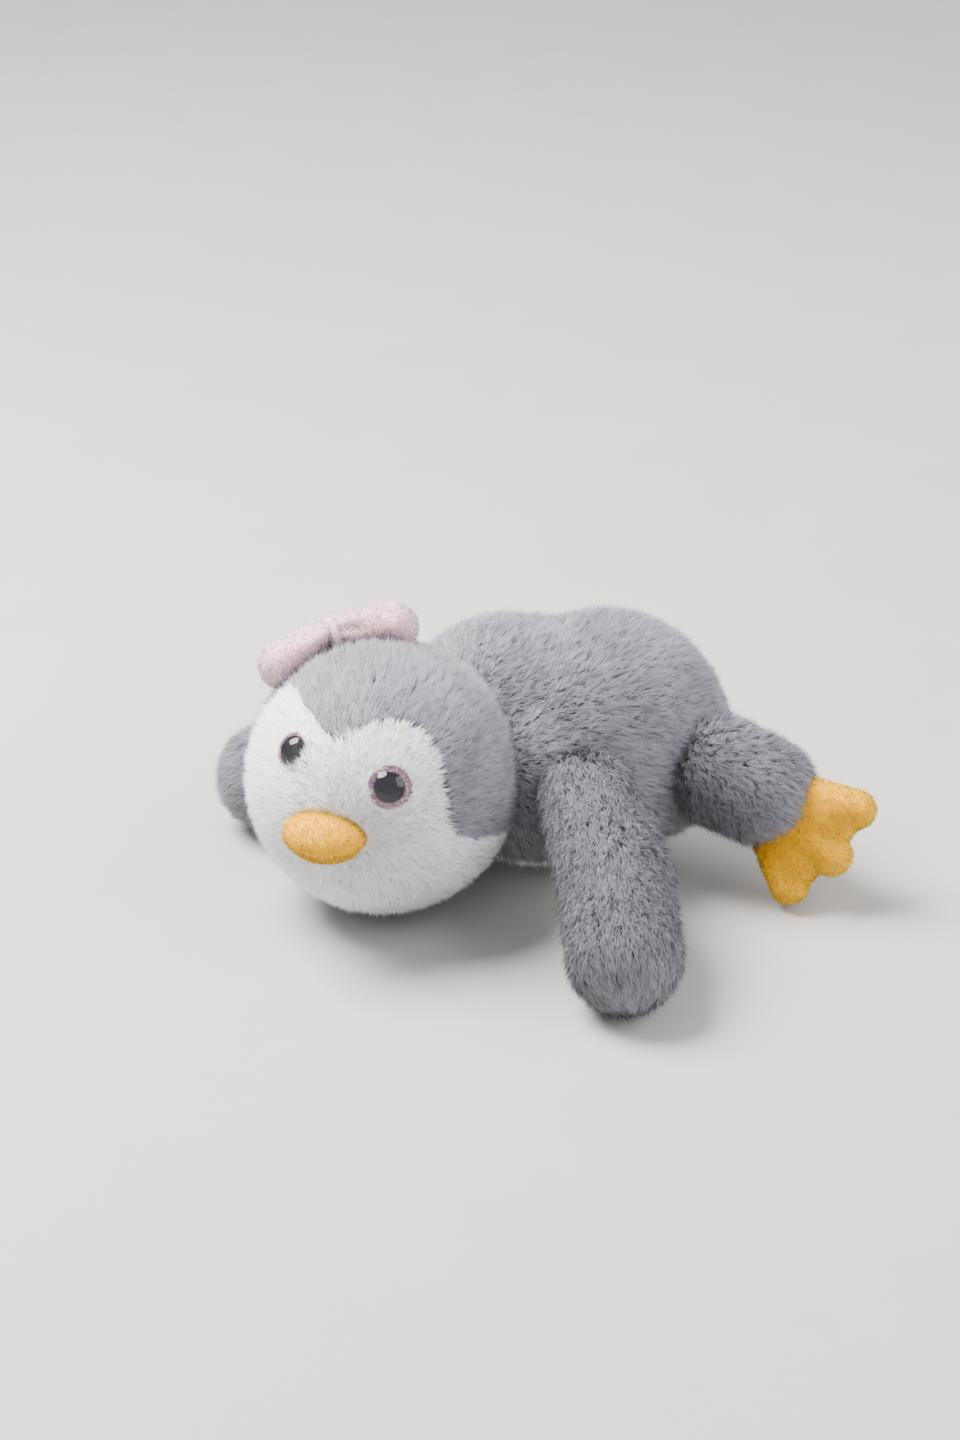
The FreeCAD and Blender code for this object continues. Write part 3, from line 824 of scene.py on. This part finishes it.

# %% [markdown]
# ## Arms
# Each arm is a stuffed tube of two panels, bent a little at its middle. Its root runs on into the body.

# %% Arms
arm_radii = np.array([15.0, 16.6, 16.6]) * mm
arm_half = 30.0 * mm
inside_torso = [(torso_front, torso_rear, torso_radius - cloth_depth)]
for side, ways, hand_reach in (("left", (-12.0, -23.0), 23 * mm), ("right", (-128.0, -92.0), 35 * mm)):
    root = hinge_at[f"{side}_shoulder"]
    elbow = root + way(ways[0], 0) * arm_half
    hand = elbow + way(ways[1], 0) * hand_reach
    elbow[2], hand[2] = (root[2] + arm_radii[2]) / 2, arm_radii[2]
    slim = arm_radii - cloth_depth
    upper_arm, lower_arm = (root, elbow, slim[0], slim[1]), (elbow, hand, slim[1], slim[2])
    points, faces = soft_form([upper_arm, lower_arm], 1.0 * mm, 14)
    along = unit(hand - root)
    over = unit(np.cross(np.cross(along, [0, 0, 1.0]), along))
    upper = (points[faces].mean(1) - elbow) @ over > 0.6 * mm
    sweep = unit(elbow - root)
    across_joint = ("torso", f"{side}_arm", root - sweep * 7 * mm, root + sweep * 9 * mm)
    for part, mask, inside in (("outer", upper, [f"{side}_arm_stuffing"]), ("inner", ~upper, [])):
        panel = make_panel(f"{side}_arm_{part}_plush", points, faces[mask], combed(along + [0, 0, -0.25]),
                           arm_pile, grey_plush, inside_torso)
        piece_on(panel, across_joint, [f"{side}_arm_{part}_panel"] + inside)

# %% [markdown]
# ## Legs and feet
# A leg is one short grey sleeve. The foot is flat velour with three stuffed toes, sewn all round
# from a top and a sole, and the seam shows as a groove with stitches in it.

# %% Leg and foot helpers
leg_radii = np.array([16.6, 16.2]) * mm


def seam_ring(points, faces, height, centre, first_axis, second_axis):
    """Ordered points where the height over the seam changes sign, going round the centre."""
    found = []
    for a, b in ((0, 1), (1, 2), (2, 0)):
        va, vb = faces[:, a], faces[:, b]
        crossing = (height[va] > 0) != (height[vb] > 0)
        va, vb = va[crossing], vb[crossing]
        t = (height[va] / (height[va] - height[vb]))[:, None]
        found.append(points[va] * (1 - t) + points[vb] * t)
    ring = np.concatenate(found)
    angle = np.arctan2((ring - centre) @ second_axis, (ring - centre) @ first_axis)
    ring = ring[np.argsort(angle)]
    window = 5
    padded_ring = np.concatenate([ring[-window:], ring, ring[:window]])
    even = [np.convolve(padded_ring[:, k], np.ones(window) / window, "same") for k in range(3)]
    return np.stack(even, 1)[window:-window]


def make_stitches(name, ring, lift, material, long=1.7 * mm, gap=0.9 * mm, thick=0.22 * mm, keep=None):
    """Short rounded stitches laid end to end along a ring of points."""
    steps = np.concatenate([[0], np.cumsum(np.linalg.norm(np.diff(ring, axis=0), axis=1))])
    bm = bmesh.new()
    count = 0
    for start in np.arange(0, steps[-1] - long, long + gap):
        ends = [np.array([np.interp(s, steps, ring[:, k]) for k in range(3)]) for s in (start, start + long)]
        if keep is not None and not keep(ends[0]):
            continue
        outward = lift((ends[0] + ends[1]) / 2)
        first, last = ends[0] + outward * 0.1 * mm, ends[1] + outward * 0.1 * mm
        axis = Vector(last - first)
        if not 0.2 * long < axis.length < 1.5 * long:
            continue
        turn = axis.to_track_quat("Z", "Y")
        made = bmesh.ops.create_uvsphere(bm, u_segments=8, v_segments=7, radius=thick)
        for vert in made["verts"]:
            vert.co = Vector(last if vert.co.z > 0 else first) + turn @ vert.co
        count += 1
    mesh = bpy.data.meshes.new(name)
    bm.to_mesh(mesh)
    bm.free()
    mesh.polygons.foreach_set("use_smooth", np.ones(len(mesh.polygons), bool))
    mesh.materials.append(material)
    obj = bpy.data.objects.new(name, mesh)
    bpy.context.scene.collection.objects.link(obj)
    print(f"{name}: {count} stitches")
    return obj


# %% [markdown]
# ## Sewing the legs and feet
# Both sides are built by the same steps from their own hinges, so a changed hinge moves the cloth with it.
# The foot is swollen first and then drawn in along its seam, because a seam holds the two cloths down where
# the stuffing pushes them up.

# %% Legs and feet
toe_spread, toe_reach, mid_toe_reach = 14.5 * mm, 23.7 * mm, 27.0 * mm
toe_radius, mid_toe_radius, heel_radius = 7.0 * mm, 7.4 * mm, 9.0 * mm
web_reach, web_half, web_radius = 17.5 * mm, 9, 7.6 * mm            # the cloth between the toes' roots
fringe_reach, fringe_half, fringe_radius = 22.5 * mm, 10, 6.8 * mm  # and nearer their tips
swell = 0.9 * mm
groove_depth, groove_half = 0.55 * mm, 0.8 * mm
for side, foot_way in (("left", (28.3, -30.0)), ("right", (148.0, -36.0))):
    root, ankle = hinge_at[f"{side}_hip"], hinge_at[f"{side}_ankle"]
    run = unit(ankle - root)
    slim = leg_radii - cloth_depth
    points, faces = soft_form([(root, ankle, slim[0], slim[1])], 1.0 * mm, 12)
    sleeve = make_panel(f"{side}_leg_plush", points, faces, combed(run + [0, 0, -0.2]), grey_pile, grey_plush,
                        inside_torso)
    piece_on(sleeve, ("torso", f"{side}_leg", root - run * 6 * mm, root + run * 7 * mm),
             [f"{side}_leg_sleeve", f"{side}_leg_stuffing"])

    forward, row = way(*foot_way), hinge_axis[f"{side}_ankle"]
    less = velour_depth + swell
    toes = [(toe_reach, toe_spread, toe_radius), (mid_toe_reach, 0.0, mid_toe_radius),
            (toe_reach, -toe_spread, toe_radius)]
    links = []
    for reach, spread, radius in toes:
        tip = ankle + forward * reach + row * spread
        links.append((ankle + (tip - ankle) * 0.15, tip, heel_radius - less, radius - less))
    for reach, half, radius in ((web_reach, web_half, web_radius),
                                (fringe_reach, fringe_half, fringe_radius)):
        ends = [ankle + forward * reach + row * s * half * mm for s in (1, -1)]
        links.append((ends[0], ends[1], radius - less, radius - less))
    points, faces = soft_form(links, 0.8 * mm, 3)
    face_up = unit(np.cross(forward, row))
    height = (points - ankle) @ face_up
    points = stuff(points, faces, np.abs(height), 1.3 * swell)
    normals = vertex_normals(points, faces)
    height = (points - ankle) @ face_up
    points -= normals * (groove_depth * np.exp(-(height / groove_half) ** 2))[:, None]
    upper = (points[faces].mean(1) - ankle) @ face_up > 0
    leg_end = [(ankle, ankle, leg_radii[1] - cloth_depth - 1 * mm)]
    for part, mask, inside in (("top", upper, [f"{side}_foot_stuffing"]), ("sole", ~upper, [])):
        panel = make_panel(f"{side}_foot_{part}_velour", points, faces[mask], combed(forward), velour_pile,
                           yellow_velour, leg_end, lambda p: np.abs((p - ankle) @ face_up) > 0.3 * mm)
        piece_on(panel, f"{side}_foot", [f"{side}_foot_{part}_panel"] + inside)
    centre = ankle + forward * 15 * mm
    ring = seam_ring(points, faces, (points - ankle) @ face_up, centre, forward, row)
    stitches = make_stitches(f"{side}_foot_stitches", ring, lambda p: unit(p - centre), yellow_thread,
                             keep=lambda p: np.linalg.norm(p - ankle) > leg_radii[1] + 2.5 * mm)
    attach(stitches, f"{side}_foot")

# %% [markdown]
# ## Beak
# The beak is a wide, short cushion of velour. Its top panel is the larger, so the seam runs low
# and lifts a little at the corners. A ball is squashed to its size and drooped towards its tip, which
# is nearly all of its shape: the swelling then adds about a tenth of a millimetre.

# %% Beak
seam_low, seam_lift, beak_droop, beak_groove = 3.0 * mm, 1.6 * mm, 0.9 * mm, 0.7 * mm


def over_beak_seam(points):
    """Height over the seam between the beak's two panels."""
    return points[:, 2] - (-seam_low + seam_lift * (points[:, 1] / beak_half[1]) ** 2)


points, faces = ball_form(np.zeros(3), 1.0, 5)
points = points * (beak_half - velour_depth - swell)
points[:, 2] -= beak_droop * np.clip(points[:, 0] / beak_half[0], 0, 1) ** 2
points = stuff(points, faces, np.abs(over_beak_seam(points)), 1.6 * swell, pressure=60.0)
over_seam = over_beak_seam(points)
points -= vertex_normals(points, faces) * (beak_groove * np.exp(-(over_seam / groove_half) ** 2))[:, None]
upper = over_seam[faces].mean(1) > 0
points = points @ np.stack([beak_way, beak_across, beak_up]) + beak_centre
for part, mask, inside in (("top", upper, ["beak_stuffing"]), ("bottom", ~upper, [])):
    panel = make_panel(f"beak_{part}_velour", points, faces[mask], combed(beak_way), velour_pile,
                       yellow_velour, [(head_centre, head_centre, head_radius - cloth_depth)])
    piece_on(panel, "head", [f"beak_{part}_panel"] + inside)

# %% [markdown]
# ## Bow
# Two puffed loops are gathered by a knot. Each loop is narrow and pleated at the knot and full at
# its outer end.

# %% Bow
loop_inner, loop_outer = 8.6, 4.6           # mm each way from a loop's middle
loop_inner_radius, loop_outer_radius = 3.8 * mm, 6.3 * mm
knot_half = np.array([2.6, 4.6, 4.9])       # mm
knot_centre = np.mean(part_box("bow_knot"), axis=0)
for part in ("left_loop", "right_loop"):
    centre = np.mean(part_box(f"bow_{part}"), axis=0)
    out = unit(centre - head_centre)
    along = unit((centre - knot_centre) - out * ((centre - knot_centre) @ out))
    wide = np.cross(out, along)
    points, faces = soft_form([(np.array([-loop_inner, 0, 0]) * mm, np.array([loop_outer, 0, 0]) * mm,
                                loop_inner_radius, loop_outer_radius)], 0.5 * mm, 4)
    points[:, 1] *= 1.3
    angle = np.arctan2(points[:, 2], points[:, 1])
    pleat = np.exp(-((points[:, 0] + 9 * mm) / (7 * mm)) ** 2)
    points[:, 1:] *= (1 + 0.16 * pleat * np.cos(5 * angle))[:, None]
    points = stuff(points, faces, np.abs(points[:, 2]) + 1.0 * (points[:, 0] > -6 * mm) * mm, 0.8 * mm)
    points = points @ np.stack([along, wide, out]) + centre
    panel = make_panel(f"bow_{part}_velour", points, faces, combed(along), bow_pile, pink_velour)
    piece_on(panel, "head", [f"bow_{part}"])

bow_out = unit(knot_centre - head_centre)
loop_line = np.mean(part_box("bow_left_loop"), axis=0) - np.mean(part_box("bow_right_loop"), axis=0)
bow_line = unit(loop_line - bow_out * (loop_line @ bow_out))
bow_wide = np.cross(bow_out, bow_line)
points, faces = ball_form(np.zeros(3), 1.0, 5)
points = np.sign(points) * np.abs(points) ** np.array([0.8, 1.0, 1.0]) * knot_half * mm
crease = 0.25 * mm * np.cos(points[:, 0] / (0.55 * mm))
points += unit(points * [0, 1, 1]) * crease[:, None]
points = points @ np.stack([bow_line, bow_wide, bow_out]) + knot_centre
panel = make_panel("bow_knot_velour", points, faces, combed(bow_wide), bow_pile, pink_velour)
piece_on(panel, "head", ["bow_knot"])

# %% [markdown]
# ## Floor
# The toy lies on something flat and pale. One big plane is enough, because from the main camera its
# far edge is out of the picture and the toy's own shadow is all that shows on it.

# %% Floor
floor_mesh = bpy.data.meshes.new("floor")
half = 3.0
floor_mesh.from_pydata([(-half, -half, 0), (half, -half, 0), (half, half, 0), (-half, half, 0)], [],
                       [(0, 1, 2, 3)])
floor = bpy.data.objects.new("floor", floor_mesh)
bpy.context.scene.collection.objects.link(floor)
floor_paint = quiet("pale floor", (0.44, 0.425, 0.403, 1), (0.47, 0.455, 0.432, 1), 30.0, 0.7, 0.0001)
floor_mesh.materials.append(floor_paint)

# %% [markdown]
# ## Camera
# The view is from the toy's left and above, close to the height of a person looking down at a
# table. It is a long lens from nearly a metre, so that the round head isn't stretched.

# %% Camera
view_compass, view_rise, view_distance = 63.0, 28.0, 950.0 * mm
a, e = math.radians(view_compass), math.radians(view_rise)
to_camera = np.array([math.sin(a) * math.cos(e), -math.cos(a) * math.cos(e), math.sin(e)])
camera_right = np.array([math.cos(a), math.sin(a), 0.0])
camera_up = np.cross(to_camera, camera_right)
target = head_centre + 27.2 * mm * camera_right + 15.7 * mm * camera_up
camera_data = bpy.data.cameras.new("camera")
camera_data.sensor_fit = "VERTICAL"
camera_data.sensor_height = 36.0
camera_data.lens = 84.8
camera = bpy.data.objects.new("camera", camera_data)
camera.matrix_world = Matrix.Translation(target + to_camera * view_distance) @ Matrix(
    np.stack([camera_right, camera_up, to_camera], 1).tolist()).to_4x4()
bpy.context.scene.collection.objects.link(camera)
bpy.context.scene.camera = camera
print("camera at", np.round(np.array(camera.location), 3))


# %% [markdown]
# ## Lights
# Pile needs broad light, because a small lamp would make every fibre glitter. A large disc from the
# upper left gives the form, a weaker one opens the shadows, and the sky fills in the rest.

# %% Lights
def soft_light(name, place, size, watts, colour):
    data = bpy.data.lights.new(name, "AREA")
    data.shape = "DISK"
    data.size = size
    data.energy = watts
    data.color = colour
    lamp = bpy.data.objects.new(name, data)
    lamp.location = target + place
    lamp.rotation_euler = Vector(-place).to_track_quat("-Z", "Y").to_euler()
    bpy.context.scene.collection.objects.link(lamp)


soft_light("key", -0.45 * camera_right + 0.75 * camera_up + 0.25 * to_camera, 0.6, 42.0, (1.0, 0.985, 0.96))
soft_light("fill", 0.8 * camera_right + 0.35 * camera_up + 0.4 * to_camera, 0.9, 11.0, (0.94, 0.96, 1.0))
world = bpy.data.worlds.new("studio")
bpy.context.scene.world = world
world.use_nodes = True
world.node_tree.nodes["Background"].inputs["Color"].default_value = (0.86, 0.88, 0.92, 1)
world.node_tree.nodes["Background"].inputs["Strength"].default_value = 1.0
